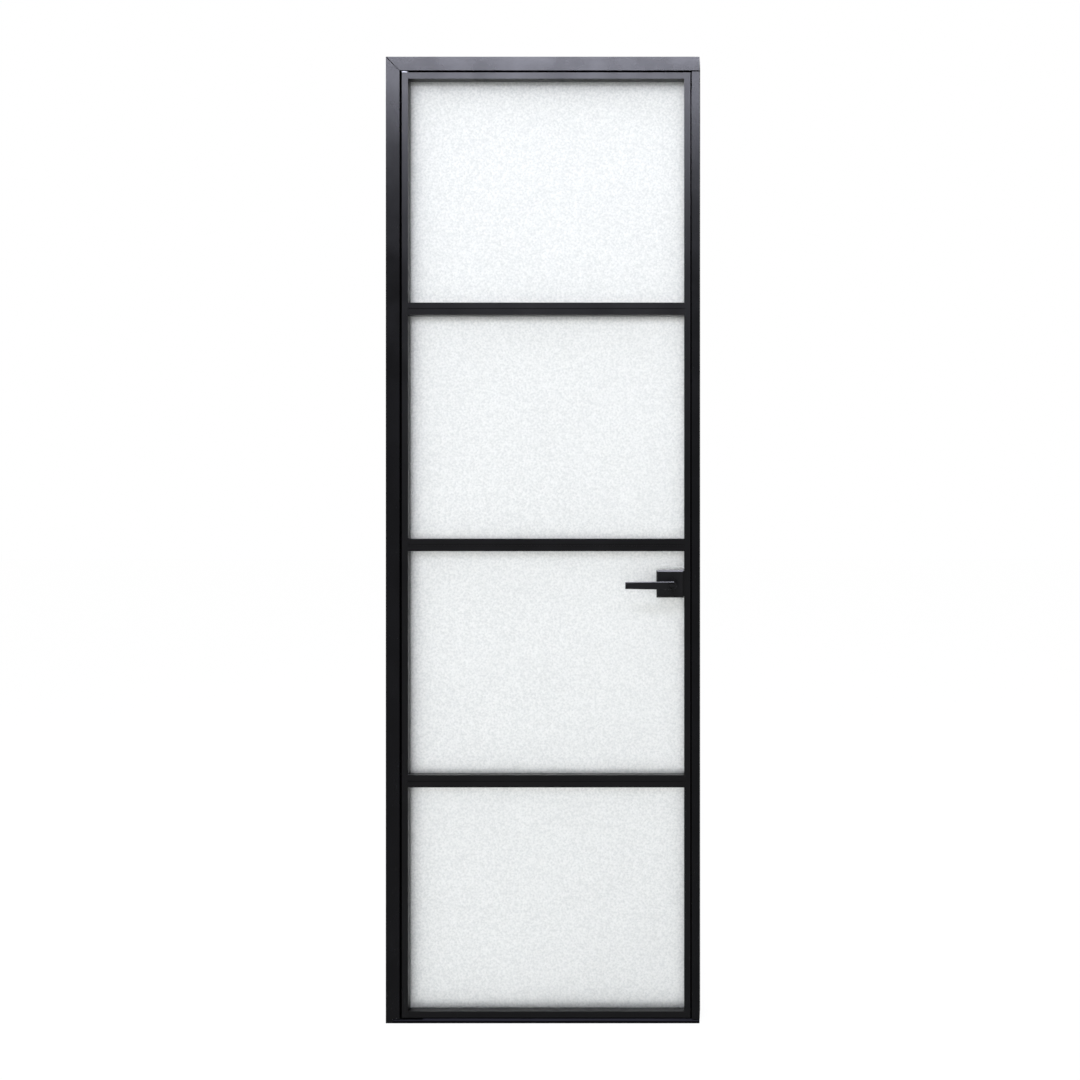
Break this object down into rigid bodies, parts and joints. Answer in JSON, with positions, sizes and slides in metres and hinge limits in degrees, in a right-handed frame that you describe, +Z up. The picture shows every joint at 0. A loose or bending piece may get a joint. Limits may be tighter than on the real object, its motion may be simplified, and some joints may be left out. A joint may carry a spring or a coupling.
{
  "type": "framed glass door",
  "caption": "Slim black metal framed door leaf with stacked obscure glass panes, turning on pivots in its own frame, with lever handles and a spring latch",
  "frame": {"origin": "middle of the frame's foot on the floor, on the mid-plane of the leaf's thickness", "axes": "+X from the hinge side to the lock side, +Y from the pull side (front) to the stop side (back), +Z up"},
  "size_m": [0.714, 0.148, 2.2],
  "materials": {
    "frame_coat": "satin black powder coat on extruded aluminium",
    "leaf_coat": "satin black powder coat on extruded aluminium",
    "handle_coat": "matt black coat on cast metal",
    "sill_metal": "dark anodised extrusion",
    "obscure_glass": "obscure glass with a fine stippled face",
    "cast_zinc": "plain cast zinc, lightly tumbled",
    "bright_steel": "turned and plated steel",
    "black_rubber": "black extruded seal rubber",
    "white_nylon": "natural turned nylon"
  },
  "bodies": {
    "frame": {"hinge_jamb": "frame_coat", "head": "frame_coat", "strike_post": "frame_coat", "threshold": "sill_metal", "corner_cleat": "cast_zinc", "post_packer": "black_rubber", "head_end_cap": "frame_coat", "hinge_stop": "frame_coat", "head_stop": "frame_coat", "strike_stop": "frame_coat", "hinge_seal": "black_rubber", "head_seal": "black_rubber", "strike_seal": "black_rubber", "top_pivot_pin": "bright_steel", "bottom_pivot_plate": "cast_zinc", "pivot_washer": "white_nylon", "pivot_screws": "bright_steel", "strike_plate": "bright_steel", "strike_box": "black_rubber", "strike_screws": "bright_steel"},
    "leaf": {"hinge_stile": "leaf_coat", "lock_stile": "leaf_coat", "top_rail": "leaf_coat", "muntin_upper": "leaf_coat", "muntin_middle": "leaf_coat", "muntin_lower": "leaf_coat", "bottom_rail": "leaf_coat", "pane_1": "obscure_glass", "pane_2": "obscure_glass", "pane_3": "obscure_glass", "pane_4": "obscure_glass", "gaskets_1": "black_rubber", "gaskets_2": "black_rubber", "gaskets_3": "black_rubber", "gaskets_4": "black_rubber", "setting_blocks": "black_rubber", "leaf_screws": "bright_steel", "screw_caps": "black_rubber", "top_pivot_block": "cast_zinc", "top_pivot_bush": "white_nylon", "bottom_pivot_block": "cast_zinc", "bottom_pivot_bush": "white_nylon", "brush_seal": "black_rubber", "lock_box": "handle_coat", "lock_gasket": "black_rubber", "latch_case": "cast_zinc", "latch_screws": "bright_steel", "rose_front": "handle_coat", "rose_back": "handle_coat", "rose_screws": "handle_coat"},
    "levers": {"lever_front": "handle_coat", "lever_back": "handle_coat", "spindle": "bright_steel", "latch_hub": "cast_zinc"},
    "latch": {"latch_bolt": "bright_steel"},
    "turn": {"turn_button": "handle_coat", "turn_rod": "bright_steel", "turn_release": "cast_zinc"}
  },
  "joints": [
    {"name": "leaf_swing", "type": "hinge", "parent": "frame", "child": "leaf", "pos_m": [-0.3135, -0.014, 0], "axis": [0, 0, -1], "range_deg": [0, 95]},
    {"name": "lever_turn", "type": "hinge", "parent": "leaf", "child": "levers", "pos_m": [0.296, 0, 1], "axis": [0, -1, 0], "range_deg": [0, 45], "stiffness_Nm_per_rad": 1.2, "springref_deg": -28.65},
    {"name": "latch_slide", "type": "slide", "parent": "leaf", "child": "latch", "axis": [-1, 0, 0], "range_m": [0, 0.011]},
    {"name": "privacy_turn", "type": "hinge", "parent": "levers", "child": "turn", "pos_m": [0.296, 0, 1], "axis": [0, -1, 0], "range_deg": [0, 90]}
  ],
  "couplings": [
    {"joint": "latch_slide", "follows": "lever_turn", "m_per_rad": 0.014}
  ]
}
